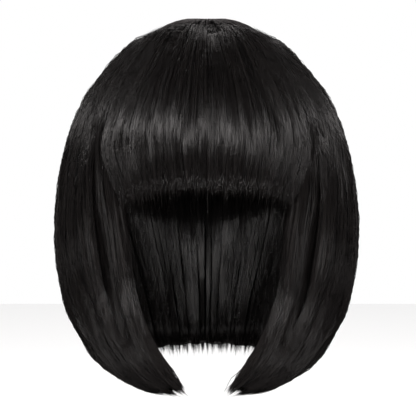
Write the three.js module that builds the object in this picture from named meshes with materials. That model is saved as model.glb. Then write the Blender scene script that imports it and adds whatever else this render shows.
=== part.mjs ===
// A bob wig with a full straight fringe: a cap with panels of hair sewn to it.
// Millimetres, +Z up. The face looks along -Y and the wearer's left is +X.
// The origin is where the crown of the head touches the inside of the cap.

import * as THREE from "three";

// Driving dimensions of the head and of the cap on it
const HEAD_WIDTH = 156; // inside the cap, from ear to ear
const HEAD_FRONT = 88; // from the crown's axis to the forehead
const HEAD_BACK = 106; // from the crown's axis to the back of the head
const HEAD_RISE = 92; // from the head's widest level up to its crown
const HEAD_TAPER = 150; // how far below the widest level the head's form would close
const CAP_WALL = 1.5;
const CAP_DROP = { forehead: 50, ear: 98, nape: 112 }; // from the crown down to the rim

// Driving dimensions of the hair's outer form
const STAND_OUT = { side: 28.5, front: 15, back: 17 }; // how far it stands out from the head
const HAIR_OVER_CAP = 13; // thickness of hair above the crown of the cap
const WIDEST_DROP = 144; // from the hair's top down to its widest level
const BELOW_HEM = 5; // how far below the lowest hem the form would close

// How far below the hair's top each panel is cut off
const FRINGE_DROP = { middle: 114, corner: 128 };
const LONG_DROP = { faceTip: 254, side: 263, nape: 247.5 };

// Thickness of the hair where it hangs free below the cap
const CURTAIN = 12;
const FRINGE_WALL = 9;
const TIP_WALL = 2;
const RELEASE = 34; // how far below the cap's rim the hair has left the cap's form

// The fringe's edge turns in under itself, and the face-framing locks dip in beside it
const FRINGE_ROLL = 6;
const FRINGE_ROLL_HEIGHT = 26;
const EMERGE = 60; // how far below the fringe's edge those locks have come out again

// Each of those locks has a rounded front edge, and falls off into a valley before the side panel.
// The drops are down from the hair's top: both have faded out before the lock's tip.
const EDGE_ROUND = 5;
const VALLEY_DEPTH = 4;
const VALLEY_DROP = { start: 72, full: 110, fading: 190, gone: 232 };

// Gaps and relief
const SEAT_GAP = 1.1; // between the cap and the hair on it
const SEAM_GAP = 0.7; // between neighbouring panels
const LOCK_RELIEF = { fringe: 1.1, long: 1.8 }; // depth of the grooves between locks
const LOCK_UNEVEN = 0.7; // how far one lock lies deeper than the next
const INNER_RELIEF = 0.5; // depth of the grooves inside, as a share of those outside
const TIP_STEP = { fringe: 1.2, long: 2.5 }; // how much further a lock's middle reaches than its edges
const TIP_UNEVEN = 1; // how much one lock is longer than the next

// The whorl, from which all the hair parts
const WHORL_RADIUS = 9;
const WHORL_DIMPLE = 2.5;
const WHORL_RELIEF = 0.7;

// Where the panels part, in degrees round the crown's axis from the middle of the face
const SEAM_TURN = { fringe: 40, faceLock: 57, back: 118 };
const VALLEY_TURN = { start: 46, full: 51 };
const LAP_TURN = 12; // how far behind the face-framing lock the side panel is thicker
const LOWEST_TURN = 72; // where the hem is lowest
const SWEEP = 1; // how strongly the lowest hair leans towards the face
const SWEEP_EASE = 1.2; // above 1, the lean starts gently
const SWEEP_DROP = 80; // how far below the hair's top the lean starts

// Where the grooves start and are full, in degrees down from the crown
const GROOVE_ANGLE = { start: 12, full: 40 };

// How round the form is: 2 is an ellipse, and more is fuller
const UPPER_POWER = 2.05;
const LOWER_POWER = 2.42;
const FRINGE_CURVE = 2.8; // how sharply the fringe's edge bends down to its corners
const TIP_TAPER = 0.35; // share of a panel's length over which it thins to its tips

// How finely each piece is divided
const LOCKS = { fringe: 8, faceLock: 3, side: 5, back: 10 };
const ROWS = { fringe: 14, faceLock: 18, side: 18, back: 15 };
const COLUMNS_PER_LOCK = 4;
const ROW_EASE = 1.4; // above 1, rows crowd towards the tips
const CAP_GRID = { columns: 44, rows: 9 };
const WHORL_GRID = { columns: 24, rows: 3 };

const FULL_TURN = 2 * Math.PI;
const HALF_TURN = Math.PI;
const QUARTER_TURN = Math.PI / 2;
const radians = THREE.MathUtils.degToRad;
const degrees = THREE.MathUtils.radToDeg;
const smooth = THREE.MathUtils.smoothstep;
const mix = THREE.MathUtils.lerp;

const HAIR_TOP = CAP_WALL + HAIR_OVER_CAP;
const LOWEST_DROP = Math.max(...Object.values(LONG_DROP));
const HAIR = {
  halfWidth: HEAD_WIDTH / 2 + STAND_OUT.side,
  front: HEAD_FRONT + STAND_OUT.front,
  back: HEAD_BACK + STAND_OUT.back,
  top: HAIR_TOP,
  rise: WIDEST_DROP,
  taper: LOWEST_DROP + BELOW_HEM - WIDEST_DROP,
  upperPower: UPPER_POWER,
  lowerPower: LOWER_POWER,
};

// The head's form, grown by the same amount all round
function headForm(growth) {
  return {
    halfWidth: HEAD_WIDTH / 2 + growth,
    front: HEAD_FRONT + growth,
    back: HEAD_BACK + growth,
    top: growth,
    rise: HEAD_RISE + growth,
    taper: HEAD_TAPER + growth,
    upperPower: 2,
    lowerPower: 2,
  };
}

// A point on an egg-shaped form. turn goes round from the face, and fall goes down from the crown.
function formPoint(form, turn, fall) {
  const isUpper = fall <= QUARTER_TURN;
  const power = isUpper ? form.upperPower : form.lowerPower;
  const reach = Math.sin(fall) ** (2 / power);
  const level = Math.abs(Math.cos(fall)) ** (2 / power);
  const drop = isUpper ? form.rise * (1 - level) : form.rise + form.taper * level;
  const depth = Math.cos(turn) > 0 ? form.front : form.back;
  return new THREE.Vector3(
    form.halfWidth * reach * Math.sin(turn),
    -depth * reach * Math.cos(turn),
    form.top - drop,
  );
}

// The fall at which a form reaches a drop below its own top
function fallAtDrop(form, drop) {
  if (drop <= form.rise) return Math.acos((1 - drop / form.rise) ** (form.upperPower / 2));
  return HALF_TURN - Math.acos(((drop - form.rise) / form.taper) ** (form.lowerPower / 2));
}

// More than 1 outside a form whose powers are 2, and less than 1 inside it
function formMeasure(form, point) {
  const depth = point.y < 0 ? form.front : form.back;
  const height = point.z - (form.top - form.rise);
  const semi = height > 0 ? form.rise : form.taper;
  return (point.x / form.halfWidth) ** 2 + (point.y / depth) ** 2 + (height / semi) ** 2;
}

// The outward direction of the hair's form
function hairNormal(turn, fall) {
  const step = 0.002;
  const around = formPoint(HAIR, turn + step, fall).sub(formPoint(HAIR, turn - step, fall));
  const down = formPoint(HAIR, turn, fall + step).sub(formPoint(HAIR, turn, fall - step));
  return down.cross(around).normalize();
}

// A point at a depth inside the hair's form
function hairPoint(turn, fall, depth) {
  return formPoint(HAIR, turn, fall).addScaledVector(hairNormal(turn, fall), -depth);
}

// How deep below the hair's form the seat on the cap lies
function depthToSeat(turn, fall) {
  const seat = headForm(CAP_WALL + SEAT_GAP);
  const start = formPoint(HAIR, turn, fall);
  const normal = hairNormal(turn, fall);
  let near = 0;
  let far = start.length();
  const closeEnough = 0.01;
  while (far - near > closeEnough) {
    const middle = (near + far) / 2;
    const point = start.clone().addScaledVector(normal, -middle);
    if (formMeasure(seat, point) > 1) near = middle;
    else far = middle;
  }
  return near;
}

// The fall that a length along the hair takes up
function fallOfLength(length, turn, fall) {
  const step = 0.01;
  return (length * step) / formPoint(HAIR, turn, fall).distanceTo(formPoint(HAIR, turn, fall - step));
}

// How far below the crown the cap's rim lies
function rimDrop(turn) {
  const away = Math.abs(turn);
  if (away < QUARTER_TURN) return mix(CAP_DROP.forehead, CAP_DROP.ear, smooth(away, 0, QUARTER_TURN));
  return mix(CAP_DROP.ear, CAP_DROP.nape, smooth(away, QUARTER_TURN, HALF_TURN));
}

// How far the hair has left the cap: 0 on it, and 1 where it hangs free
function hangsFree(turn, fall) {
  const drop = -formPoint(HAIR, turn, fall).z;
  return smooth(drop, rimDrop(turn), rimDrop(turn) + RELEASE);
}

// How thick the hair is: down to its seat on the cap, and below the rim as thick as it hangs free
function bodyDepth(turn, fall, freeThickness) {
  const seat = depthToSeat(turn, fall);
  return mix(seat, Math.min(seat, freeThickness), hangsFree(turn, fall));
}

// Where hair that starts at a turn has swept to: the lowest hair leans towards the face
function sweptTurn(turn, fall) {
  const away = Math.abs(turn);
  const backSeam = radians(SEAM_TURN.back);
  if (away >= backSeam) return turn;
  const lowest = fallAtDrop(HAIR, LOWEST_DROP);
  const start = fallAtDrop(HAIR, SWEEP_DROP);
  const progress = THREE.MathUtils.clamp((fall - start) / (lowest - start), 0, 1);
  return turn * (1 - SWEEP * progress ** SWEEP_EASE * (1 - away / backSeam));
}

// How far below the hair's top the long hair is cut, for the turn at which it starts
function longHemDrop(turn) {
  const away = degrees(Math.abs(turn));
  if (away < LOWEST_TURN) {
    return mix(LONG_DROP.faceTip, LONG_DROP.side, smooth(away, SEAM_TURN.fringe, LOWEST_TURN));
  }
  return mix(LONG_DROP.side, LONG_DROP.nape, smooth(away, LOWEST_TURN, 180));
}

function fringeHemDrop(turn) {
  const away = degrees(Math.abs(turn));
  return mix(FRINGE_DROP.middle, FRINGE_DROP.corner, (away / SEAM_TURN.fringe) ** FRINGE_CURVE);
}

// A repeatable unevenness from -1 to 1 for one lock
function uneven(lock, seed) {
  return Math.sin(lock * 12.9 + seed * 4.7);
}

// A closed wall between an outer and an inner grid of points
function wallGeometry(columns, rows, outerPoint, innerPoint, isMirrored) {
  const positions = [];
  const index = [];
  const perColumn = rows + 1;
  const perFace = (columns + 1) * perColumn;
  for (const pointAt of [outerPoint, innerPoint]) {
    for (let column = 0; column <= columns; column++) {
      for (let row = 0; row <= rows; row++) {
        const point = pointAt(column, row);
        positions.push(isMirrored ? -point.x : point.x, point.y, point.z);
      }
    }
  }
  const outer = (column, row) => column * perColumn + row;
  const inner = (column, row) => perFace + outer(column, row);
  const quad = (a, b, c, d) => index.push(...(isMirrored ? [a, c, b, a, d, c] : [a, b, c, a, c, d]));
  for (let column = 0; column < columns; column++) {
    for (let row = 0; row < rows; row++) {
      const [c, r] = [column + 1, row + 1];
      quad(outer(column, row), outer(column, r), outer(c, r), outer(c, row));
      quad(inner(column, row), inner(c, row), inner(c, r), inner(column, r));
    }
    quad(outer(column, 0), outer(column + 1, 0), inner(column + 1, 0), inner(column, 0));
    quad(outer(column, rows), inner(column, rows), inner(column + 1, rows), outer(column + 1, rows));
  }
  for (let row = 0; row < rows; row++) {
    quad(outer(0, row), inner(0, row), inner(0, row + 1), outer(0, row + 1));
    quad(outer(columns, row), outer(columns, row + 1), inner(columns, row + 1), inner(columns, row));
  }
  const geometry = new THREE.BufferGeometry();
  geometry.setAttribute("position", new THREE.Float32BufferAttribute(positions, 3));
  geometry.setIndex(index);
  geometry.computeVertexNormals();
  return geometry;
}

const WHORL_FALL = Math.asin((WHORL_RADIUS / HAIR.front) ** (UPPER_POWER / 2));

// A panel of hair made of locks that lie side by side. from and to are turns in degrees.
// hemDrop, outerDepth and wall say where the panel ends, how deep it lies and how thick it is.
function hairPanel(panel) {
  const columns = panel.locks * COLUMNS_PER_LOCK;
  const from = radians(panel.from);
  const to = radians(panel.to);
  const place = (column, row) => {
    const lock = Math.min(Math.floor(column / COLUMNS_PER_LOCK), panel.locks - 1);
    const ridge = Math.sin(HALF_TURN * (column / COLUMNS_PER_LOCK - lock));
    const start = mix(from, to, column / columns);
    const tip = (panel.tipStep + TIP_UNEVEN * uneven(lock, panel.seed)) * ridge - panel.tipStep;
    const cut = fallAtDrop(HAIR, panel.hemDrop(start));
    const hem = cut + fallOfLength(tip, start, cut);
    const down = 1 - (1 - row / panel.rows) ** ROW_EASE;
    const fall = mix(WHORL_FALL, hem, down);
    const side = column === 0 ? 1 : column === columns ? -1 : 0;
    const seam = (side * SEAM_GAP) / 2 / (HAIR.front * Math.sin(fall));
    const full = smooth(fall, radians(GROOVE_ANGLE.start), radians(GROOVE_ANGLE.full));
    const groove = panel.relief * (1 - ridge) + LOCK_UNEVEN * uneven(lock, panel.seed + 1) ** 2 * ridge;
    return { start, turn: sweptTurn(start, fall) + seam, fall, down, groove: groove * full };
  };
  const outerAt = (column, row) => {
    const at = place(column, row);
    return hairPoint(at.turn, at.fall, panel.outerDepth(at) + at.groove);
  };
  const innerAt = (column, row) => {
    const at = place(column, row);
    const body = smooth(1 - at.down, 0, TIP_TAPER);
    const wall = mix(TIP_WALL + at.groove, panel.wall(at), body);
    const innerGroove = at.groove * INNER_RELIEF * hangsFree(at.turn, at.fall) * body;
    return hairPoint(at.turn, at.fall, panel.outerDepth(at) + wall - innerGroove);
  };
  return wallGeometry(columns, panel.rows, outerAt, innerAt, panel.isMirrored);
}

// How deep hair lies where it turns in at the level of the fringe's edge
function rollDepth(start, fall) {
  const above = fringeHemDrop(start) - (HAIR_TOP - formPoint(HAIR, start, fall).z);
  return FRINGE_ROLL * (1 - smooth(above, -FRINGE_ROLL_HEIGHT / 2, FRINGE_ROLL_HEIGHT));
}

function fringe() {
  return hairPanel({
    from: -SEAM_TURN.fringe,
    to: SEAM_TURN.fringe,
    locks: LOCKS.fringe,
    rows: ROWS.fringe,
    relief: LOCK_RELIEF.fringe,
    tipStep: TIP_STEP.fringe,
    seed: 1,
    hemDrop: fringeHemDrop,
    outerDepth: ({ start, fall }) => rollDepth(start, fall),
    wall: ({ turn, fall }) => bodyDepth(turn, fall, FRINGE_WALL),
  });
}

// A face-framing lock dips in with the fringe, then comes gently out again below it
function faceLockDepth(start, fall) {
  const below = HAIR_TOP - formPoint(HAIR, start, fall).z - fringeHemDrop(start);
  return rollDepth(start, fall) * (1 - smooth(below, 0, EMERGE));
}

// How far a face-framing lock is rounded off at its front edge and hollowed at its valley
function lockShaping(start, fall) {
  const drop = HAIR_TOP - formPoint(HAIR, start, fall).z;
  const fromEdge = (start - radians(SEAM_TURN.fringe)) * HAIR.halfWidth * Math.sin(fall);
  const near = THREE.MathUtils.clamp(1 - fromEdge / EDGE_ROUND, 0, 1);
  const belowFringe = smooth(drop - fringeHemDrop(start), 0, EMERGE / 2);
  const edge = EDGE_ROUND * (1 - Math.sqrt(1 - near ** 2)) * belowFringe;
  const across = smooth(degrees(start), VALLEY_TURN.start, VALLEY_TURN.full);
  const valley = VALLEY_DEPTH * across * smooth(drop, VALLEY_DROP.start, VALLEY_DROP.full);
  return (edge + valley) * (1 - smooth(drop, VALLEY_DROP.fading, VALLEY_DROP.gone));
}

function faceLock(isMirrored) {
  return hairPanel({
    from: SEAM_TURN.fringe,
    to: SEAM_TURN.faceLock,
    locks: LOCKS.faceLock,
    rows: ROWS.faceLock,
    relief: LOCK_RELIEF.long,
    tipStep: TIP_STEP.long,
    seed: isMirrored ? 3 : 2,
    isMirrored,
    hemDrop: longHemDrop,
    outerDepth: ({ start, fall }) => faceLockDepth(start, fall) + lockShaping(start, fall),
    wall: ({ start, turn, fall }) => bodyDepth(turn, fall, CURTAIN) - lockShaping(start, fall),
  });
}

function sidePanel(isMirrored) {
  const front = radians(SEAM_TURN.faceLock);
  return hairPanel({
    from: SEAM_TURN.faceLock,
    to: SEAM_TURN.back,
    locks: LOCKS.side,
    rows: ROWS.side,
    relief: LOCK_RELIEF.long,
    tipStep: TIP_STEP.long,
    seed: isMirrored ? 5 : 4,
    isMirrored,
    hemDrop: longHemDrop,
    outerDepth: () => 0,
    wall: ({ start, turn, fall }) => {
      const besideLock = 1 - smooth(start, front, front + radians(LAP_TURN));
      return bodyDepth(turn, fall, CURTAIN + besideLock * faceLockDepth(front, fall));
    },
  });
}

function backPanel() {
  const turnFromFace = (turn) => (turn > HALF_TURN ? FULL_TURN - turn : turn);
  return hairPanel({
    from: SEAM_TURN.back,
    to: degrees(FULL_TURN) - SEAM_TURN.back,
    locks: LOCKS.back,
    rows: ROWS.back,
    relief: LOCK_RELIEF.long,
    tipStep: TIP_STEP.long,
    seed: 6,
    hemDrop: (turn) => longHemDrop(turnFromFace(turn)),
    outerDepth: () => 0,
    wall: ({ turn, fall }) => bodyDepth(turnFromFace(turn), fall, CURTAIN),
  });
}

// A closed dome or disc: an upper and a lower polar grid of points that share their rim
function domeGeometry({ columns, rows }, upperPoint, lowerPoint) {
  const positions = [];
  const index = [];
  const perFace = 1 + columns * rows;
  for (const pointAt of [upperPoint, lowerPoint]) {
    positions.push(...pointAt(0, 0).toArray());
    for (let row = 1; row <= rows; row++) {
      for (let column = 0; column < columns; column++) positions.push(...pointAt(column, row).toArray());
    }
  }
  const upper = (column, row) => 1 + (row - 1) * columns + (column % columns);
  const lower = (column, row) => perFace + upper(column, row);
  for (let column = 0; column < columns; column++) {
    const next = column + 1;
    index.push(0, upper(column, 1), upper(next, 1));
    index.push(perFace, lower(next, 1), lower(column, 1));
    for (let row = 1; row < rows; row++) {
      const below = row + 1;
      index.push(upper(column, row), upper(column, below), upper(next, below));
      index.push(upper(column, row), upper(next, below), upper(next, row));
      index.push(lower(column, row), lower(next, below), lower(column, below));
      index.push(lower(column, row), lower(next, row), lower(next, below));
    }
    index.push(upper(column, rows), lower(column, rows), lower(next, rows));
    index.push(upper(column, rows), lower(next, rows), upper(next, rows));
  }
  const geometry = new THREE.BufferGeometry();
  geometry.setAttribute("position", new THREE.Float32BufferAttribute(positions, 3));
  geometry.setIndex(index);
  geometry.computeVertexNormals();
  return geometry;
}

// The cap: a thin stretch dome whose rim runs from the hairline, past the ears, to the nape
function cap() {
  const pointOn = (growth) => (column, row) => {
    const turn = (column / CAP_GRID.columns) * FULL_TURN;
    const away = turn > HALF_TURN ? FULL_TURN - turn : turn;
    const form = headForm(growth);
    const rim = fallAtDrop(form, rimDrop(away) + growth);
    return formPoint(form, turn, (rim * row) / CAP_GRID.rows);
  };
  return domeGeometry(CAP_GRID, pointOn(CAP_WALL), pointOn(0));
}

// The whorl: a small dimpled disc of roots that stands on the cap inside the panels' ends
function whorl() {
  const ringPoint = (column, row, depth) => {
    const turn = (column / WHORL_GRID.columns) * FULL_TURN;
    const rim = hairPoint(turn, WHORL_FALL, depth(turn));
    const out = (row / WHORL_GRID.rows) * (1 - SEAM_GAP / Math.hypot(rim.x, rim.y));
    return rim.multiply(new THREE.Vector3(out, out, 1));
  };
  const upperPoint = (column, row) => {
    const point = ringPoint(column, row, () => WHORL_DIMPLE / 2);
    const root = column % 2 === 0 || row === 0 ? 0 : WHORL_RELIEF;
    point.z -= (WHORL_DIMPLE / 2) * (1 - (row / WHORL_GRID.rows) ** 2) + root;
    return point;
  };
  const lowerPoint = (column, row) => {
    const point = ringPoint(column, row, (turn) => depthToSeat(turn, WHORL_FALL));
    point.z = CAP_WALL + SEAT_GAP;
    return point;
  };
  return domeGeometry(WHORL_GRID, upperPoint, lowerPoint);
}

const hair = (roughness) => new THREE.MeshStandardMaterial({ color: 0x1d1b1b, roughness, metalness: 0 });
const net = new THREE.MeshStandardMaterial({ color: 0x171616, roughness: 0.9, metalness: 0 });

const pieces = [
  ["cap", cap(), net],
  ["crown_whorl", whorl(), hair(0.6)],
  ["fringe", fringe(), hair(0.4)],
  ["face_lock_left", faceLock(false), hair(0.4)],
  ["face_lock_right", faceLock(true), hair(0.4)],
  ["side_left", sidePanel(false), hair(0.4)],
  ["side_right", sidePanel(true), hair(0.4)],
  ["back", backPanel(), hair(0.4)],
];

const wig = new THREE.Group();
for (const [name, geometry, material] of pieces) {
  const mesh = new THREE.Mesh(geometry, material);
  mesh.name = name;
  wig.add(mesh);
}

export default wig;
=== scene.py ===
"""A near-black bob wig with a full straight fringe, held up in its worn form."""

import math

import bpy
import numpy as np
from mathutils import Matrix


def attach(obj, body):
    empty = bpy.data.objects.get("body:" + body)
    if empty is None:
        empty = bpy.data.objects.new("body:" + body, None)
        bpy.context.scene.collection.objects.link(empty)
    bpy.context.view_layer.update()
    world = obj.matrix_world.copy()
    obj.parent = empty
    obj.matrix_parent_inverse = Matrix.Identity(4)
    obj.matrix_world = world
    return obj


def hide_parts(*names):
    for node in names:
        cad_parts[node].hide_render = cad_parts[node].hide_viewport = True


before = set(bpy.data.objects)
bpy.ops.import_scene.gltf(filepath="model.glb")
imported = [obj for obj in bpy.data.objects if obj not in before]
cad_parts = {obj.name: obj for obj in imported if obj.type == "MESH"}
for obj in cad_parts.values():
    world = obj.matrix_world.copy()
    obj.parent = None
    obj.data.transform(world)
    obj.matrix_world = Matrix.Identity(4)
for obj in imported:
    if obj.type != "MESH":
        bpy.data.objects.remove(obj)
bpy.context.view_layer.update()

# The camera: the photo looks slightly down at the middle of the wig
VIEW_ELEVATION = math.radians(5)
VIEW_DISTANCE = 1.6
VIEW_AIM_HEIGHT = -0.1185
METRES_PER_PIXEL = 0.0007
PICTURE_PIXELS = 416
WIG_COLUMN = 206.5
SENSOR = 0.036
FLOOR_HEIGHT = -0.42
FLOOR_WIDTH = 3.6

# The hair's form, as the part's source has it, in metres and in powers of its rounding
HALF_WIDTH = 0.1065
FRONT = 0.103
BACK = 0.123
TOP = 0.0145
WIDEST_DROP = 0.144
TAPER = 0.124
UPPER_POWER = 2.05
LOWER_POWER = 2.42
HEAD = {"half_width": 0.078, "front": 0.088, "back": 0.106, "rise": 0.092, "taper": 0.15}
SEAT_OUT = 0.0026
SEAT_STEPS = 14
CAP_DROP = {"forehead": 0.05, "ear": 0.098, "nape": 0.112}
RELEASE = 0.034

# Hems, walls and seams. Drops are metres below the hair's top, and turns are degrees round from the face.
# They are the solids' own, but for the nape, which is cut a little higher and level over a wider stretch,
# and for TIP_FLARE, which holds the tips back a little.
FRINGE_DROP = {"middle": 0.114, "corner": 0.128}
LONG_DROP = {"face_tip": 0.254, "side": 0.263, "nape": 0.246}
CURTAIN = 0.012
FRINGE_WALL = 0.009
TIP_WALL = 0.002
LEAST_WALL = 0.0005
FRINGE_ROLL = 0.006
FRINGE_ROLL_HEIGHT = 0.026
EMERGE = 0.06
SEAM_TURN = {"fringe": 40, "face_lock": 57, "back": 118}
LAP_TURN = 12
LOWEST_TURN = 72
NAPE_TURN = 162
SWEEP_EASE = 1.2
SWEEP_DROP = 0.08
TIP_FLARE = {"out": (0.17, 0.225), "in": (0.243, 0.256), "share": 0.1}
FRINGE_CURVE = 2.8
TIP_TAPER = 0.35
ROOT_FALL = math.radians(5)
GROOVE_FALL = (math.radians(12), math.radians(40))
GROOVE_TURN = (2.2, 3.6)

# The inner hair of the back starts just inside the cap's rim, then hangs almost straight in gathered locks
INNER_TURNS = (104, 256)
INNER_REACH = {"middle": 0.65, "hem": 0.642}
INNER_WIDER = 0.012
INNER_ROOT_HEIGHT = (0.008, 0.016)
INNER_ROOT_OUT = 0.0008
INNER_LEAN_HEIGHT = 0.028
INNER_LEAN_EASE = 2.3
INNER_TILT = 0.008
INNER_GATHER = 0.4
INNER_DRIFT = 0.008
INNER_CROWDING = 1.25
INNER_FAN = {"share": 0.42, "drops": (0.1, 0.26)}

# The dark valley between the face-framing lock and the side, deeper than the solids', in degrees and metres
VALLEY_TURN = {"start": 44, "full": 48}
VALLEY_DROP = {"start": 0.072, "full": 0.11, "fading": 0.19, "gone": 0.232}
VALLEY_DEPTH = 0.0075
EDGE_ROUND = {"face_lock": 0.006, "side": 0.0035}
SIDE_EDGE = 53.5

# How the fringe's lower hair leans towards the middle
FRINGE_LEAN = 0.2
FRINGE_LEAN_HEIGHT = 0.045
FRINGE_OVERLAP = 7

# Hair lies in big clumps and in small ones within them. turn is a clump's width in degrees, waves are
# counted in radians for each radian of fall, and the other lengths are in metres.
OUTER_CLUMPS = {
    "big": {"turn": 3.4, "relief": 0.0006, "uneven": 0.0006, "wave": 0.0008, "waves": 9, "seed": 0},
    "small": {"turn": 0.8, "relief": 0.0004, "uneven": 0.0004, "wave": 0.00042, "waves": 14, "seed": 5},
}
INNER_CLUMPS = {
    "big": {"turn": 6.5, "relief": 0.005, "uneven": 0.0035, "wave": 0.0006, "waves": 9, "seed": 0},
    "small": {"turn": 1.6, "relief": 0.0012, "uneven": 0.0015, "wave": 0.0003, "waves": 14, "seed": 5},
}
CLUMP_DRIFT = {"share": 0.35, "pace": 1.7}
CLUMP_MEAN = 0.33
CLUMPED_FALL = (0.05, 0.5)

# Single strands: metres for lengths and depths, radians for turns and falls, and shares for the rest
STRAND_RADIUS = 0.0002
RADIUS_SPREAD = (0.55, 1.35)
THIN_TIP = {"from": 0.85, "share": 0.4}
STRAND_WAVE = {"depth": 0.00017, "waves": 26}
STRAND_DEPTH = 0.0008
LAYER_DEPTH = 0.0009
SHELL_DEPTH = 0.0037
SHELL_CROWDING = 1.3
LENGTH_PER_FALL = 0.12
ROOT_REACH = 0.9
FROM_BELOW = {"depth": 0.0014, "past_root": 0.03, "fall": 0.07}
UNEVEN_HEM = 1.2
STRAY = {"share": 0.08, "longer": 1.4}
LOOSE = {"share": 0.05, "times": 3.5}
DRIFT = {"turn": 0.006, "from": 0.4}
GATHER = {"share": 0.45, "from": 0.7}
TURN_UNDER_FROM = 0.86
POINT_CROWDING = 0.35

# The edge strands and the single hairs of a face-framing lock
EDGE = {"spread": (-0.004, 0.012), "above_hem": 0.01, "root_falls": 0.9, "drift": 0.004}
EDGE_WAVE = {"share": 0.1, "waves": 7, "spread": 6}
WISP = {
    "off": 0.0028, "off_share": (0.2, 1), "parting": (0.1, 0.75), "thickness": (0.8, 0.4),
    "root_drop": (0.17, 0.21), "tip_drop": (0.238, 0.257), "depth": (0.0015, 0.0055),
}

# How much fuller the hair is round the crown, in metres, and where
CROWN_LIFT = {"height": 0.0024, "fall": 0.37, "width": 0.13}

# The parting notch at the crown: degrees round from the face, then metres
NOTCH = {"turn": 7, "half_turn": 7, "fall": 0.24, "width": 0.0016, "depth": 0.003, "fading": (0.13, 0.3)}

# The short hairs round the whorl: falls in radians, then depths and lifts in metres
CROWN_ROOTS = {
    "seed": 51, "start": (0.035, 0.075), "length": (0.12, 0.42), "drift": 0.05,
    "depth": (0.0004, 0.003), "sinking_from": 0.2, "thickness": (0.9, 0.45),
}
CROWN_ROOTS_LIFT = {"spread": 0.0002, "arch": 0.0006}
WHORL_DIP = {"depth": 0.0028, "falls": (0.03, 0.12)}

# How many strands each piece has
STRANDS = {
    "fringe": 3800, "face_lock": 1500, "edge": 260, "wisps": 22, "side": 3200,
    "back": 2200, "inner_back": 2050, "crown": 520,
}

# The looks: streaks are counted across and along a panel, and bumps are in metres
STREAKS = {"colour": (900, 3), "gloss": (700, 4), "bump": (900, 14)}
RAMP = (0.3, 0.7)
HAIR_IOR = 1.55
BUMP_DEPTH = 0.0003
NET = {"roughness": 0.8, "colour": (0.012, 0.011, 0.011), "threads": 600, "bump": 0.6}
FLOOR = {"roughness": 0.9, "colour": (0.86, 0.86, 0.86)}

# The soft boxes: name, degrees round from the front, degrees up, width and height in metres, and brightness.
# All but those straight in front or behind come in pairs, one on each side.
SOFT_BOXES = (
    ("key", 0, 35.5, 0.72, 0.18, 4.2),
    ("key_wing", 30, 35.5, 0.72, 0.18, 5.1),
    ("side_key", 60, 33, 0.72, 0.18, 5.0),
    ("far_key", 90, 28, 0.72, 0.2, 2.2),
    ("rim", 120, 24, 0.72, 0.24, 3.0),
    ("low_rim", 120, 0, 0.6, 0.5, 0.9),
    ("crown_wing", 150, 60, 0.72, 0.2, 3.8),
    ("crown", 180, 38, 0.72, 0.2, 3.1),
    ("low_side", 60, -5, 0.72, 0.24, 1.7),
    ("under", 0, -50, 1.2, 0.6, 1.0),
    ("under_wing", 60, -50, 1.2, 0.6, 0.65),
)
SOFT_BOX_DISTANCE = 1.4
WARM = (1.0, 0.955, 0.945)

# A small soft box near the open face, which lights the inner hair of the back
OPENING_BOX = {"azimuth": 0, "elevation": -20.5, "size": (0.08, 0.045), "radiance": 11.5, "distance": 0.213}


def smooth(value, low, high):
    share = np.clip((value - low) / (high - low), 0, 1)
    return share * share * (3 - 2 * share)


def mix(first, second, share):
    return first + (second - first) * share


def shuffled(number, seed):
    """A repeatable random share for a whole number."""
    return np.modf(np.abs(np.sin(number * 12.9898 + seed * 78.233)) * 43758.5453)[0]


def drop_at(fall):
    """How far below the hair's top its form lies at a fall."""
    upper = fall <= math.pi / 2
    level = np.abs(np.cos(fall)) ** (2 / np.where(upper, UPPER_POWER, LOWER_POWER))
    return np.where(upper, WIDEST_DROP * (1 - level), WIDEST_DROP + TAPER * level)


def form_point(turn, fall):
    """A point on the hair's form. turn goes round from the face, and fall goes down from the crown."""
    power = np.where(fall <= math.pi / 2, UPPER_POWER, LOWER_POWER)
    reach = np.sin(fall) ** (2 / power)
    depth = np.where(np.cos(turn) > 0, FRONT, BACK)
    across, along = HALF_WIDTH * reach * np.sin(turn), -depth * reach * np.cos(turn)
    height = np.broadcast_to(TOP - drop_at(fall), across.shape)
    return np.stack([across, along, height], axis=-1)


def form_normal(turn, fall):
    step = 0.002
    around = form_point(turn + step, fall) - form_point(turn - step, fall)
    down = form_point(turn, fall + step) - form_point(turn, fall - step)
    normal = np.cross(down, around)
    return normal / np.linalg.norm(normal, axis=-1, keepdims=True)


def fall_at_drop(drop):
    upper = np.arccos(np.clip(1 - drop / WIDEST_DROP, 0, 1) ** (UPPER_POWER / 2))
    lower = math.pi - np.arccos(np.clip((drop - WIDEST_DROP) / TAPER, 0, 1) ** (LOWER_POWER / 2))
    return np.where(drop <= WIDEST_DROP, upper, lower)


def away_from_face(turn):
    """Degrees round from the middle of the face, on either side."""
    turn = np.abs(turn)
    return np.degrees(np.where(turn > math.pi, 2 * math.pi - turn, turn))


def seat_depth(turn, fall):
    """How deep below the hair's form its seat on the cap lies."""
    start, normal = form_point(turn, fall), form_normal(turn, fall)
    near = np.zeros(start.shape[:-1])
    far = np.linalg.norm(start, axis=-1)
    for _ in range(SEAT_STEPS):
        middle = (near + far) / 2
        point = start - normal * middle[..., None]
        depth = np.where(point[..., 1] < 0, HEAD["front"], HEAD["back"]) + SEAT_OUT
        height = point[..., 2] + HEAD["rise"]
        semi = np.where(height > 0, HEAD["rise"], HEAD["taper"]) + SEAT_OUT
        outside = (
            (point[..., 0] / (HEAD["half_width"] + SEAT_OUT)) ** 2
            + (point[..., 1] / depth) ** 2
            + (height / semi) ** 2
        ) > 1
        near = np.where(outside, middle, near)
        far = np.where(outside, far, middle)
    return near


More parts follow.
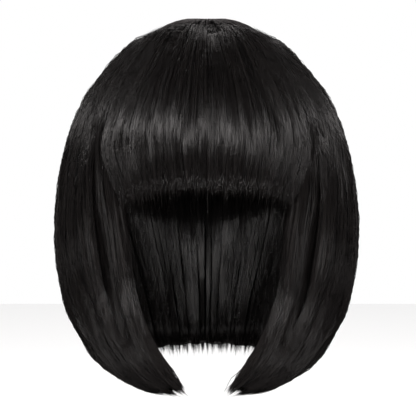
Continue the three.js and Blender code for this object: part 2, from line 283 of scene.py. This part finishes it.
def cap_rim_drop(turn):
    away = away_from_face(turn)
    front = mix(CAP_DROP["forehead"], CAP_DROP["ear"], smooth(away, 0, 90))
    behind = mix(CAP_DROP["ear"], CAP_DROP["nape"], smooth(away, 90, 180))
    return np.where(away < 90, front, behind)


def hangs_free(turn, fall):
    """0 where the hair lies on the cap, and 1 where it hangs free below the cap's rim."""
    rim = cap_rim_drop(turn)
    return smooth(drop_at(fall) - TOP, rim, rim + RELEASE)


def body_depth(turn, fall, free_thickness):
    seat = seat_depth(turn, fall)
    return mix(seat, np.minimum(seat, free_thickness), hangs_free(turn, fall))


def swept_turn(start, fall):
    """Where hair that starts at a turn has swept to: the lowest hair leans towards the face."""
    lowest = fall_at_drop(LONG_DROP["side"])
    first = fall_at_drop(SWEEP_DROP)
    progress = np.clip((fall - first) / (lowest - first), 0, 1)
    lean = progress**SWEEP_EASE * np.clip(1 - away_from_face(start) / SEAM_TURN["back"], 0, 1)
    drop = drop_at(fall)
    held_back = smooth(drop, *TIP_FLARE["out"]) * (1 - smooth(drop, *TIP_FLARE["in"]))
    return start * (1 - lean * (1 - TIP_FLARE["share"] * held_back))


def long_hem_drop(start):
    away = away_from_face(start)
    front = mix(LONG_DROP["face_tip"], LONG_DROP["side"], smooth(away, SEAM_TURN["fringe"], LOWEST_TURN))
    behind = mix(LONG_DROP["side"], LONG_DROP["nape"], smooth(away, LOWEST_TURN, NAPE_TURN))
    return np.where(away < LOWEST_TURN, front, behind)


def fringe_hem_drop(start):
    share = (away_from_face(start) / SEAM_TURN["fringe"]) ** FRINGE_CURVE
    return mix(FRINGE_DROP["middle"], FRINGE_DROP["corner"], share)


def roll_depth(start, fall):
    """Hair turns in at the level of the fringe's edge."""
    above = fringe_hem_drop(start) - drop_at(fall)
    return FRINGE_ROLL * (1 - smooth(above, -FRINGE_ROLL_HEIGHT / 2, FRINGE_ROLL_HEIGHT))


def rounded_edge(start, fall, edge, radius):
    """Extra depth that rounds off a lock's free edge, at a turn in degrees."""
    away = np.abs(start - math.radians(edge)) * HALF_WIDTH * np.sin(fall)
    near = np.clip(1 - away / radius, 0, 1)
    return radius * (1 - np.sqrt(1 - near**2))


def lock_dip(start, fall):
    """A face-framing lock dips in with the fringe, then comes gently out again below it."""
    below = drop_at(fall) - fringe_hem_drop(start)
    return roll_depth(start, fall) * (1 - smooth(below, 0, EMERGE))


def valley_share(drop):
    """How much of the valley and of the rounded edges there is, down the lock."""
    return smooth(drop, VALLEY_DROP["start"], VALLEY_DROP["full"])


def lock_shaping(start, fall):
    """How far a face-framing lock is rounded off at its front edge and hollowed at its valley."""
    drop = drop_at(fall)
    edge = rounded_edge(start, fall, SEAM_TURN["fringe"], EDGE_ROUND["face_lock"])
    edge = edge * smooth(drop - fringe_hem_drop(start), 0, EMERGE / 2)
    across = smooth(np.degrees(start), VALLEY_TURN["start"], VALLEY_TURN["full"])
    valley = VALLEY_DEPTH * across * valley_share(drop)
    return (edge + valley) * (1 - smooth(drop, VALLEY_DROP["fading"], VALLEY_DROP["gone"]))


def face_lock_depth(start, fall):
    return lock_dip(start, fall) + lock_shaping(start, fall)


def face_lock_wall(start, turn, fall):
    return body_depth(turn, fall, CURTAIN) - lock_shaping(start, fall)


def side_depth(start, fall):
    edge = rounded_edge(start, fall, SIDE_EDGE, EDGE_ROUND["side"])
    return valley_share(drop_at(fall)) * edge


def side_wall(start, turn, fall):
    front = math.radians(SEAM_TURN["face_lock"])
    beside_lock = 1 - smooth(start, front, front + math.radians(LAP_TURN))
    return body_depth(turn, fall, CURTAIN + beside_lock * lock_dip(front, fall))


def plain_depth(start, fall):
    return np.zeros(np.broadcast(start, fall).shape)


def fringe_wall(start, turn, fall):
    return body_depth(turn, fall, FRINGE_WALL)


def back_wall(start, turn, fall):
    return body_depth(turn, fall, CURTAIN)


# The panels of hair. turns and grooves are in degrees round from the face.
FRINGE = {
    "turns": (-40, 40), "grooves": (-34, -25, -19, -8, 3, 11, 20, 31), "groove": 0.0009, "seed": 11,
    "hem": fringe_hem_drop, "outer": roll_depth, "wall": fringe_wall, "ragged": 0.0014,
    "turned_under": 0.0004,
}
FACE_LOCK = {
    "turns": (40, 57), "grooves": (49,), "groove": 0.0008, "seed": 21,
    "hem": long_hem_drop, "outer": face_lock_depth, "wall": face_lock_wall, "ragged": 0.003,
    "turned_under": 0.001,
}
SIDE = {
    "turns": (57, 118), "grooves": (63, 72, 84, 96, 107), "groove": 0.0018, "seed": 31,
    "hem": long_hem_drop, "outer": side_depth, "wall": side_wall, "ragged": 0.003,
    "turned_under": 0.001,
}
REAR = {
    "turns": (118, 242), "grooves": (129, 143, 152, 167, 181, 190, 204, 215, 229), "groove": 0.0018,
    "seed": 41, "hem": long_hem_drop, "outer": plain_depth, "wall": back_wall, "ragged": 0.0014,
    "turned_under": 0.001,
}


class Builder:
    """Gathers closed surfaces and tubes as arrays, and makes one mesh of them."""

    def __init__(self):
        self.points, self.uvs, self.quads, self.triangles, self.total = [], [], [], [], 0

    def add(self, points, uvs, quads, triangles=None):
        self.points.append(points.reshape(-1, 3))
        self.uvs.append(uvs.reshape(-1, 2))
        self.quads.append(quads.reshape(-1, 4) + self.total)
        if triangles is not None:
            self.triangles.append(triangles.reshape(-1, 3) + self.total)
        self.total += len(self.points[-1])

    def make(self, name, mirrored=False):
        points, uvs = np.concatenate(self.points), np.concatenate(self.uvs)
        quads = np.concatenate(self.quads)
        triangles = np.concatenate(self.triangles) if self.triangles else np.zeros((0, 3), int)
        if mirrored:
            points = points * (-1, 1, 1)
            quads, triangles = quads[:, ::-1], triangles[:, ::-1]
        corners = np.concatenate([quads.ravel(), triangles.ravel()])
        totals = np.concatenate([np.full(len(quads), 4), np.full(len(triangles), 3)])
        mesh = bpy.data.meshes.new(name)
        mesh.vertices.add(len(points))
        mesh.vertices.foreach_set("co", points.astype(np.float32).ravel())
        mesh.loops.add(len(corners))
        mesh.loops.foreach_set("vertex_index", corners.astype(np.int32))
        mesh.polygons.add(len(totals))
        mesh.polygons.foreach_set("loop_start", (np.cumsum(totals) - totals).astype(np.int32))
        mesh.polygons.foreach_set("use_smooth", np.ones(len(totals), bool))
        layer = mesh.uv_layers.new(name="strand")
        mesh.update(calc_edges=True)
        layer.data.foreach_set("uv", uvs[corners].astype(np.float32).ravel())
        piece = bpy.data.objects.new(name, mesh)
        bpy.context.scene.collection.objects.link(piece)
        return piece


def add_wall(builder, outer, inner, uvs):
    """A closed wall between two grids of points, columns by rows."""
    columns, rows = outer.shape[0] - 1, outer.shape[1] - 1
    index = np.arange((columns + 1) * (rows + 1)).reshape(columns + 1, rows + 1)
    back = index + index.size

    def cells(grid, flipped):
        a, b, c, d = grid[:-1, :-1], grid[:-1, 1:], grid[1:, 1:], grid[1:, :-1]
        return np.stack([a, d, c, b] if flipped else [a, b, c, d], axis=-1).reshape(-1, 4)

    def rim(first, second):
        return np.stack([first[:-1], first[1:], second[1:], second[:-1]], axis=-1)

    quads = np.concatenate([
        cells(index, False),
        cells(back, True),
        rim(back[:, 0], index[:, 0])[:, ::-1],
        rim(back[:, -1], index[:, -1]),
        rim(index[0], back[0])[:, ::-1],
        rim(index[-1], back[-1]),
    ])
    builder.add(np.stack([outer, inner]), np.stack([uvs, uvs]), quads)


def add_tubes(builder, paths, outward, radius, uvs):
    """Closed three-sided tubes that run to a point at both ends. paths is strands by points by 3."""
    strands, points = paths.shape[:2]
    along = np.gradient(paths, axis=1)
    along /= np.linalg.norm(along, axis=-1, keepdims=True) + 1e-12
    across = np.cross(along, outward)
    across /= np.linalg.norm(across, axis=-1, keepdims=True) + 1e-12
    out = np.cross(across, along)
    middle = paths[:, 1:-1]
    rings = []
    for corner in range(3):
        angle = 2 * math.pi * corner / 3
        arm = math.cos(angle) * out[:, 1:-1] + math.sin(angle) * across[:, 1:-1]
        rings.append(middle + arm * radius[:, 1:-1, None])
    body = np.stack(rings, axis=2).reshape(strands, -1, 3)
    vertices = np.concatenate([paths[:, :1], body, paths[:, -1:]], axis=1)
    ring_uvs = np.repeat(uvs[:, 1:-1], 3, axis=1)
    vertex_uvs = np.concatenate([uvs[:, :1], ring_uvs, uvs[:, -1:]], axis=1)
    count = vertices.shape[1]
    base = (np.arange(strands) * count)[:, None, None]
    ring = (1 + np.arange(points - 2) * 3)[None, :, None]
    side = np.arange(3)[None, None, :]
    here, beyond = base + ring + side, base + ring + (side + 1) % 3
    quads = np.stack([here[:, :-1], beyond[:, :-1], beyond[:, 1:], here[:, 1:]], axis=-1)
    first = np.broadcast_to(base, here[:, :1].shape)
    last = first + count - 1
    starts = np.stack([first, beyond[:, :1], here[:, :1]], axis=-1)
    ends = np.stack([last, here[:, -1:], beyond[:, -1:]], axis=-1)
    triangles = np.concatenate([starts.reshape(-1, 3), ends.reshape(-1, 3)])
    builder.add(vertices, vertex_uvs, quads, triangles)


def lock_groove(panel, start, fall):
    """How deep the hair lies in the grooves between locks."""
    degrees = np.degrees(start)
    depth = np.zeros(np.shape(degrees))
    for number, groove in enumerate(panel["grooves"]):
        width = mix(*GROOVE_TURN, shuffled(number, panel["seed"]))
        depth = np.maximum(depth, np.exp(-(((degrees - groove) / width) ** 2)))
    return panel["groove"] * depth * smooth(fall, *GROOVE_FALL)


def strand_uvs(panel, start, fall):
    return np.stack(np.broadcast_arrays(start / (2 * math.pi) + panel["seed"], fall / math.pi), axis=-1)


def add_shell(builder, panel, columns, rows=40):
    """The solid body of a panel, which lies just under the strands."""
    first, last = (math.radians(turn) for turn in panel["turns"])
    start = np.linspace(first, last, columns + 1)[:, None]
    down = 1 - (1 - np.linspace(0, 1, rows + 1)[None, :]) ** SHELL_CROWDING
    hem = fall_at_drop(panel["hem"](start)) - 2 * panel["ragged"] / LENGTH_PER_FALL
    fall = mix(ROOT_FALL, hem, down)
    turn = swept_turn(start, fall)
    depth = panel["outer"](start, fall)
    outer = depth + lock_groove(panel, start, fall) + SHELL_DEPTH - crown_lift(fall)
    body = smooth(1 - down, 0, TIP_TAPER)
    inner = mix(outer + TIP_WALL, depth + panel["wall"](start, turn, fall), body)
    inner = np.maximum(inner, outer + LEAST_WALL)
    normal, surface = form_normal(turn, fall), form_point(turn, fall)
    add_wall(
        builder,
        surface - normal * outer[..., None],
        surface - normal * inner[..., None],
        strand_uvs(panel, start, fall),
    )


def clumped(start, clump, panel):
    """Where strands lie within their clump from -1 to 1, and a random share for each clump."""
    seed = panel["seed"] + clump["seed"]
    width = math.radians(clump["turn"])
    place = start / width + CLUMP_DRIFT["share"] * np.sin(CLUMP_DRIFT["pace"] * start / width + seed)
    cell = np.floor(place)
    return 2 * (place - cell) - 1, shuffled(cell, seed)


def clump_depth(clump, place, share, fall):
    """How deep hair lies by its place in a clump, and by how the clump bends on its way down."""
    level = clump["relief"] * (place**2 - CLUMP_MEAN) + clump["uneven"] * (share - 0.5)
    level = level * smooth(fall, *CLUMPED_FALL)
    return level + clump["wave"] * np.sin(clump["waves"] * fall + 2 * math.pi * shuffled(share, 3))


def strand_wave(fall, rng):
    """Each strand's own slight wave in depth, all the way down."""
    phase = rng.uniform(0, 2 * math.pi, (len(fall), 1))
    return STRAND_WAVE["depth"] * np.sin(STRAND_WAVE["waves"] * fall + phase)


def thinned(down):
    """A strand's thickness on its way down, as a share of its full one."""
    return mix(1, THIN_TIP["share"], smooth(down, THIN_TIP["from"], 1))


def strand_radius(down, count, rng):
    return rng.uniform(*RADIUS_SPREAD, (count, 1)) * STRAND_RADIUS * thinned(down)


def notch_depth(start, fall):
    """The small parting notch where the hair leaves the crown."""
    across = (start - math.radians(NOTCH["turn"])) * HALF_WIDTH * np.sin(fall)
    faded = 1 - smooth(fall, *NOTCH["fading"])
    return NOTCH["depth"] * np.exp(-((across / NOTCH["width"]) ** 2)) * faded


def crown_lift(fall):
    return CROWN_LIFT["height"] * np.exp(-(((fall - CROWN_LIFT["fall"]) / CROWN_LIFT["width"]) ** 2))


def in_notch(start):
    return np.abs(np.degrees(start) - NOTCH["turn"]) < NOTCH["half_turn"]


def strand_roots(panel, start, hem, rng):
    """The falls at which strands leave a panel, from the whorl to its widest stretch."""
    widest = math.sin(min(math.pi / 2, float(hem.max())))
    root = np.arcsin(rng.uniform(math.sin(ROOT_FALL), ROOT_REACH * widest, start.shape))
    if panel is FRINGE:
        root = np.where(in_notch(start), np.maximum(root, NOTCH["fall"]), root)
    return root


def strand_excess(panel, share, rng):
    """How much longer than the hem strands are, in metres: ragged ends, uneven clumps and a few strays."""
    ragged = panel["ragged"]
    longer = rng.normal(0, ragged, share.shape) + ragged * UNEVEN_HEM * (2 * share - 1)
    is_stray = rng.uniform(0, 1, share.shape) < STRAY["share"]
    return longer + np.where(is_stray, rng.exponential(STRAY["longer"] * ragged, share.shape), 0)


def from_below(root, fall):
    """Extra depth by which a strand comes up from under its neighbours, except at the whorl."""
    deep = np.where(root > ROOT_FALL + FROM_BELOW["past_root"], FROM_BELOW["depth"], 0)
    return deep * (1 - smooth(fall - root, 0, FROM_BELOW["fall"]))


def add_strands(builder, panel, count, rng, points=9, turns=None, lean=0.0):
    """Strands that run down a panel in clumps, from roots spread over its upper part."""
    first, last = (math.radians(turn) for turn in turns or panel["turns"])
    big, small = OUTER_CLUMPS["big"], OUTER_CLUMPS["small"]
    start = rng.uniform(first, last, (count, 1))
    big_place, big_share = clumped(start, big, panel)
    small_place, small_share = clumped(start, small, panel)
    hem = fall_at_drop(panel["hem"](start * (1 - lean)))
    root = strand_roots(panel, start, hem, rng)
    tip = hem + strand_excess(panel, small_share, rng) / LENGTH_PER_FALL
    along = np.linspace(0, 1, points)[None, :]
    down = mix(along, 1 - (1 - along) ** 2, POINT_CROWDING)
    fall = mix(root, tip, down)
    near_tip = smooth(down, GATHER["from"], 1)
    gathered = start - GATHER["share"] * near_tip * small_place * math.radians(small["turn"]) / 2
    loose = np.where(rng.uniform(0, 1, (count, 1)) < LOOSE["share"], LOOSE["times"], 1)
    drift = loose * rng.normal(0, DRIFT["turn"], (count, 1)) * (down - DRIFT["from"])
    leaned = 1 - lean * smooth(drop_at(fall), drop_at(hem) - FRINGE_LEAN_HEIGHT, drop_at(hem))
    own = (gathered + drift) * leaned
    turn = swept_turn(own, fall)
    depth = STRAND_DEPTH + clump_depth(big, big_place, big_share, fall)
    depth = depth + clump_depth(small, small_place, small_share, fall)
    depth = depth + strand_wave(fall, rng)
    depth = depth + lock_groove(panel, own, fall) + rng.uniform(0, LAYER_DEPTH, (count, 1)) / loose
    depth = depth + from_below(root, fall) + panel["turned_under"] * smooth(down, TURN_UNDER_FROM, 1) ** 2
    depth = depth + (notch_depth(own, fall) if panel is FRINGE else 0)
    depth = depth + panel["outer"](own, fall) - crown_lift(fall)
    normal = form_normal(turn, fall)
    paths = form_point(turn, fall) - normal * depth[..., None]
    radius = strand_radius(down, count, rng)
    add_tubes(builder, paths, normal, radius, strand_uvs(panel, own, fall))


def add_inner_hair(builder, count, rng, points=9):
    """The inner hair of the back, which leans in at the cap's rim and hangs straight to the nape."""
    big, small = INNER_CLUMPS["big"], INNER_CLUMPS["small"]
    start = rng.uniform(*(math.radians(turn) for turn in INNER_TURNS), (count, 1))
    big_place, big_share = clumped(start, big, REAR)
    small_place, small_share = clumped(start, small, REAR)
    ragged = REAR["ragged"] * (rng.normal(0, 1, (count, 1)) + UNEVEN_HEM * (2 * small_share - 1))
    root = TOP + cap_rim_drop(start) - rng.uniform(*INNER_ROOT_HEIGHT, (count, 1))
    down = np.linspace(0, 1, points)[None, :] ** INNER_CROWDING
    drop = mix(root, LONG_DROP["nape"] + ragged, down)
    fall = fall_at_drop(drop)
    leaned = 1 - np.clip(1 - (drop - root) / INNER_LEAN_HEIGHT, 0, 1) ** INNER_LEAN_EASE
    depth = clump_depth(big, big_place, big_share, fall)
    depth = depth + clump_depth(small, small_place, small_share, fall)
    depth = depth + strand_wave(fall, rng)
    depth = depth + rng.uniform(0, LAYER_DEPTH, (count, 1)) + INNER_TILT * (big_share - 0.5) * (down - 0.5)
    reach = mix(INNER_REACH["middle"], INNER_REACH["hem"], down) + depth * leaned / BACK
    hanging = HALF_WIDTH * reach + INNER_WIDER * (1 - down)
    across = mix(HEAD["half_width"] + INNER_ROOT_OUT, hanging, leaned)
    along = mix(HEAD["back"] + INNER_ROOT_OUT, BACK * reach, leaned)
    to_middle = small_place * math.radians(small["turn"]) / 2 + big_place * math.radians(big["turn"]) / 2
    gathered = start - INNER_GATHER * down * to_middle
    fan = 1 - INNER_FAN["share"] * smooth(drop, *INNER_FAN["drops"])
    own = math.pi + (gathered + rng.normal(0, INNER_DRIFT, (count, 1)) * down - math.pi) * fan
    paths = np.stack([across * np.sin(own), -along * np.cos(own), TOP - drop], axis=-1)
    inward = -paths * (1, 1, 0)
    inward /= np.linalg.norm(inward, axis=-1, keepdims=True)
    radius = strand_radius(down, count, rng)
    add_tubes(builder, paths, inward, radius, strand_uvs(REAR, own, fall))


def principled(name, roughness, base=(0.01, 0.009, 0.009)):
    material = bpy.data.materials.new(name)
    material.use_nodes = True
    shader = material.node_tree.nodes["Principled BSDF"]
    shader.inputs["Base Color"].default_value = (*base, 1)
    shader.inputs["Roughness"].default_value = roughness
    return material, material.node_tree, shader


def strand_noise(tree, across, along, detail=2):
    """Noise in thin streaks along the hair."""
    place = tree.nodes.new("ShaderNodeUVMap")
    place.uv_map = "strand"
    stretch = tree.nodes.new("ShaderNodeMapping")
    stretch.inputs["Scale"].default_value = (across, along, 1)
    noise = tree.nodes.new("ShaderNodeTexNoise")
    noise.noise_dimensions = "2D"
    noise.inputs["Scale"].default_value = 1
    noise.inputs["Detail"].default_value = detail
    tree.links.new(place.outputs["UV"], stretch.inputs["Vector"])
    tree.links.new(stretch.outputs["Vector"], noise.inputs["Vector"])
    return noise.outputs["Fac"]


def ramp(tree, value, low, high):
    """A colour that goes from low to high as a value rises."""
    node = tree.nodes.new("ShaderNodeValToRGB")
    for element, position, colour in zip(node.color_ramp.elements, RAMP, (low, high)):
        element.position = position
        element.color = (*colour, 1)
    tree.links.new(value, node.inputs["Fac"])
    return node.outputs["Color"]


def hair_material(name, dark, light, rough):
    material, tree, shader = principled(name, rough[0])
    colour = ramp(tree, strand_noise(tree, *STREAKS["colour"]), dark, light)
    gloss = ramp(tree, strand_noise(tree, *STREAKS["gloss"]), (rough[0],) * 3, (rough[1],) * 3)
    tree.links.new(colour, shader.inputs["Base Color"])
    tree.links.new(gloss, shader.inputs["Roughness"])
    shader.inputs["IOR"].default_value = HAIR_IOR
    bump = tree.nodes.new("ShaderNodeBump")
    bump.inputs["Strength"].default_value = 1
    bump.inputs["Distance"].default_value = BUMP_DEPTH
    tree.links.new(strand_noise(tree, *STREAKS["bump"]), bump.inputs["Height"])
    tree.links.new(bump.outputs["Normal"], shader.inputs["Normal"])
    return material


def net_material():
    """Black stretch net: a fine mesh of threads."""
    material, tree, shader = principled("cap_net", NET["roughness"], NET["colour"])
    place = tree.nodes.new("ShaderNodeTexCoord")
    weave = tree.nodes.new("ShaderNodeTexVoronoi")
    weave.inputs["Scale"].default_value = NET["threads"]
    tree.links.new(place.outputs["Object"], weave.inputs["Vector"])
    bump = tree.nodes.new("ShaderNodeBump")
    bump.inputs["Strength"].default_value = NET["bump"]
    bump.inputs["Distance"].default_value = BUMP_DEPTH
    tree.links.new(weave.outputs["Distance"], bump.inputs["Height"])
    tree.links.new(bump.outputs["Normal"], shader.inputs["Normal"])
    return material


def dress(piece, material, node):
    piece.data.materials.append(material)
    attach(piece, "root")
    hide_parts(node)


def fringe_hair(material):
    rng = np.random.default_rng(FRINGE["seed"])
    builder = Builder()
    add_shell(builder, FRINGE, columns=96)
    turns = (-SEAM_TURN["fringe"] - FRINGE_OVERLAP, SEAM_TURN["fringe"] + FRINGE_OVERLAP)
    add_strands(builder, FRINGE, STRANDS["fringe"], rng, turns=turns, lean=FRINGE_LEAN)
    dress(builder.make("fringe_hair"), material, "fringe")


def face_hair(material, side, mirrored):
    rng = np.random.default_rng(FACE_LOCK["seed"] + mirrored)
    builder = Builder()
    add_shell(builder, FACE_LOCK, columns=30)
    add_strands(builder, FACE_LOCK, STRANDS["face_lock"], rng, points=11)
    add_edge(builder, FACE_LOCK, STRANDS["edge"], rng)
    add_wisps(builder, STRANDS["wisps"], rng)
    dress(builder.make(f"face_hair_{side}", mirrored), material, f"face_lock_{side}")


def add_edge(builder, panel, count, rng, points=10):
    """Strands over the side of a panel's free front edge, from its outside to its inside."""
    edge = math.radians(panel["turns"][0])
    start = edge + rng.uniform(*EDGE["spread"], (count, 1))
    longer = rng.normal(0, 2 * panel["ragged"], (count, 1))
    hem = fall_at_drop(panel["hem"](start)) + longer / LENGTH_PER_FALL
    highest = fall_at_drop(fringe_hem_drop(edge) - EDGE["above_hem"])
    root = highest + rng.uniform(0, EDGE["root_falls"], (count, 1))
    down = np.linspace(0, 1, points)[None, :]
    fall = mix(root, hem, down)
    turn = swept_turn(start + rng.normal(0, EDGE["drift"], (count, 1)) * down, fall)
    wall = mix(TIP_WALL + SHELL_DEPTH, panel["wall"](start, turn, fall), smooth(1 - down, 0, TIP_TAPER))
    across = rng.uniform(0, 1, (count, 1))
    phase = EDGE_WAVE["spread"] * rng.uniform(0, 1, (count, 1))
    share = across + EDGE_WAVE["share"] * np.sin(EDGE_WAVE["waves"] * fall + phase)
    depth = panel["outer"](start, fall) + wall * np.clip(share, 0, 1)
    normal = form_normal(turn, fall)
    paths = form_point(turn, fall) - normal * depth[..., None]
    radius = np.broadcast_to(STRAND_RADIUS * thinned(down), (count, points))
    add_tubes(builder, paths, normal, radius, strand_uvs(panel, start, fall))


def add_wisps(builder, count, rng, points=12):
    """Single hairs that stand a little off a face-framing lock's inner edge, down to its tip."""
    edge = math.radians(SEAM_TURN["fringe"])
    root = fall_at_drop(rng.uniform(*WISP["root_drop"], (count, 1)))
    tip = fall_at_drop(rng.uniform(*WISP["tip_drop"], (count, 1)))
    down = np.linspace(0, 1, points)[None, :]
    fall = mix(root, tip, down)
    off = rng.uniform(*WISP["off_share"], (count, 1)) * WISP["off"]
    start = edge - off * smooth(down, *WISP["parting"]) / (HALF_WIDTH * np.sin(fall))
    turn = swept_turn(start, fall)
    depth = face_lock_depth(edge, fall) + rng.uniform(*WISP["depth"], (count, 1))
    normal = form_normal(turn, fall)
    paths = form_point(turn, fall) - normal * depth[..., None]
    radius = np.broadcast_to(STRAND_RADIUS * mix(*WISP["thickness"], down), (count, points))
    add_tubes(builder, paths, normal, radius, strand_uvs(FACE_LOCK, start, fall))


def side_hair(material, side, mirrored):
    rng = np.random.default_rng(SIDE["seed"] + mirrored)
    builder = Builder()
    add_shell(builder, SIDE, columns=60)
    turns = (SIDE_EDGE, SEAM_TURN["back"])
    add_strands(builder, SIDE, STRANDS["side"], rng, points=10, turns=turns)
    dress(builder.make(f"side_hair_{side}", mirrored), material, f"side_{side}")


def back_hair(material):
    rng = np.random.default_rng(REAR["seed"])
    builder = Builder()
    add_shell(builder, REAR, columns=100)
    add_strands(builder, REAR, STRANDS["back"], rng)
    add_inner_hair(builder, STRANDS["inner_back"], rng)
    dress(builder.make("back_hair"), material, "back")


def crown_roots(material, points=7):
    """Short hairs that leave the whorl on all sides, in a lighter colour that is painted highlight for the
    crown's sheen.
    """
    rng = np.random.default_rng(CROWN_ROOTS["seed"])
    count = STRANDS["crown"]
    builder = Builder()
    start = rng.uniform(-math.pi, math.pi, (count, 1))
    start = np.where(in_notch(start), start + math.pi, start)
    root = rng.uniform(*CROWN_ROOTS["start"], (count, 1))
    down = np.linspace(0, 1, points)[None, :]
    fall = root + rng.uniform(*CROWN_ROOTS["length"], (count, 1)) * down
    turn = start + rng.normal(0, CROWN_ROOTS["drift"], (count, 1)) * down
    lift = CROWN_ROOTS_LIFT["spread"] * rng.uniform(0, 1, (count, 1))
    lift = lift + CROWN_ROOTS_LIFT["arch"] * np.sin(math.pi * down) ** 2
    sunk = smooth(down, CROWN_ROOTS["sinking_from"], 1)
    depth = mix(*CROWN_ROOTS["depth"], sunk) - lift + notch_depth(turn, fall)
    depth = depth + WHORL_DIP["depth"] * (1 - smooth(fall, *WHORL_DIP["falls"]))
    normal = form_normal(turn, fall)
    paths = form_point(turn, fall) - normal * depth[..., None]
    radius = np.broadcast_to(STRAND_RADIUS * mix(*CROWN_ROOTS["thickness"], down), (count, points))
    add_tubes(builder, paths, normal, radius, strand_uvs(FRINGE, turn, fall))
    piece = builder.make("crown_roots")
    piece.data.materials.append(material)
    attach(piece, "root")


def build_camera():
    camera = bpy.data.objects.new("camera", bpy.data.cameras.new("camera"))
    bpy.context.scene.collection.objects.link(camera)
    sideways = (PICTURE_PIXELS / 2 - WIG_COLUMN) * METRES_PER_PIXEL
    camera.location = (
        sideways,
        -VIEW_DISTANCE * math.cos(VIEW_ELEVATION),
        VIEW_AIM_HEIGHT + VIEW_DISTANCE * math.sin(VIEW_ELEVATION),
    )
    camera.rotation_euler = (math.pi / 2 - VIEW_ELEVATION, 0, 0)
    camera.data.sensor_width = SENSOR * 1000
    field = METRES_PER_PIXEL * PICTURE_PIXELS
    camera.data.lens = SENSOR * 1000 * VIEW_DISTANCE / field
    bpy.context.scene.camera = camera


def area_light(name, azimuth, elevation, size, radiance, distance=SOFT_BOX_DISTANCE):
    """A soft box that faces the wig, from degrees round from the front and above level."""
    turn, rise = math.radians(azimuth), math.radians(elevation)
    light = bpy.data.lights.new(name, "AREA")
    light.shape = "RECTANGLE"
    light.size, light.size_y = size
    light.energy = radiance * size[0] * size[1] * math.pi
    light.color = WARM
    lamp = bpy.data.objects.new(name, light)
    bpy.context.scene.collection.objects.link(lamp)
    lamp.location = (
        distance * math.cos(rise) * math.sin(turn),
        -distance * math.cos(rise) * math.cos(turn),
        VIEW_AIM_HEIGHT + distance * math.sin(rise),
    )
    lamp.rotation_euler = (math.pi / 2 - rise, 0, turn)
    lamp.visible_camera = False


def build_floor():
    """A plain pale floor below the tips."""
    half = FLOOR_WIDTH / 2
    corners = [(-half, -half), (half, -half), (half, half), (-half, half)]
    mesh = bpy.data.meshes.new("floor")
    mesh.from_pydata([(x, y, FLOOR_HEIGHT) for x, y in corners], [], [(0, 1, 2, 3)])
    floor = bpy.data.objects.new("floor", mesh)
    bpy.context.scene.collection.objects.link(floor)
    material = principled("pale_floor", FLOOR["roughness"], FLOOR["colour"])[0]
    floor.data.materials.append(material)
    floor.visible_glossy = False


def build_world():
    scene = bpy.context.scene
    scene.view_settings.view_transform = "Standard"
    world = bpy.data.worlds.new("studio")
    world.use_nodes = True
    world.node_tree.nodes["Background"].inputs["Color"].default_value = (1, 1, 1, 1)
    world.node_tree.nodes["Background"].inputs["Strength"].default_value = 1.0
    world.cycles_visibility.glossy = False
    scene.world = world


def build_lights():
    for name, azimuth, elevation, width, height, brightness in SOFT_BOXES:
        area_light(name, azimuth, elevation, (width, height), brightness)
        if 0 < azimuth < 180:
            area_light(f"{name}_right", -azimuth, elevation, (width, height), brightness)
    area_light("opening", **OPENING_BOX)


hair = hair_material(
    "hair", dark=(0.003, 0.0027, 0.0027), light=(0.014, 0.012, 0.0115), rough=(0.13, 0.28)
)
# The roots' lighter base colour is painted highlight: it stands in for the sheen round the whorl
roots = hair_material(
    "hair_roots", dark=(0.012, 0.0105, 0.0105), light=(0.06, 0.052, 0.052), rough=(0.3, 0.5)
)
build_camera()
build_world()
build_lights()
fringe_hair(hair)
for side, mirrored in (("left", False), ("right", True)):
    face_hair(hair, side, mirrored)
    side_hair(hair, side, mirrored)
back_hair(hair)
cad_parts["cap"].data.materials.clear()
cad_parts["cap"].data.materials.append(net_material())
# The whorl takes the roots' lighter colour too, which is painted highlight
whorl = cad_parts["crown_whorl"]
whorl.data.materials.clear()
whorl.data.materials.append(roots)
crown_roots(roots)
build_floor()
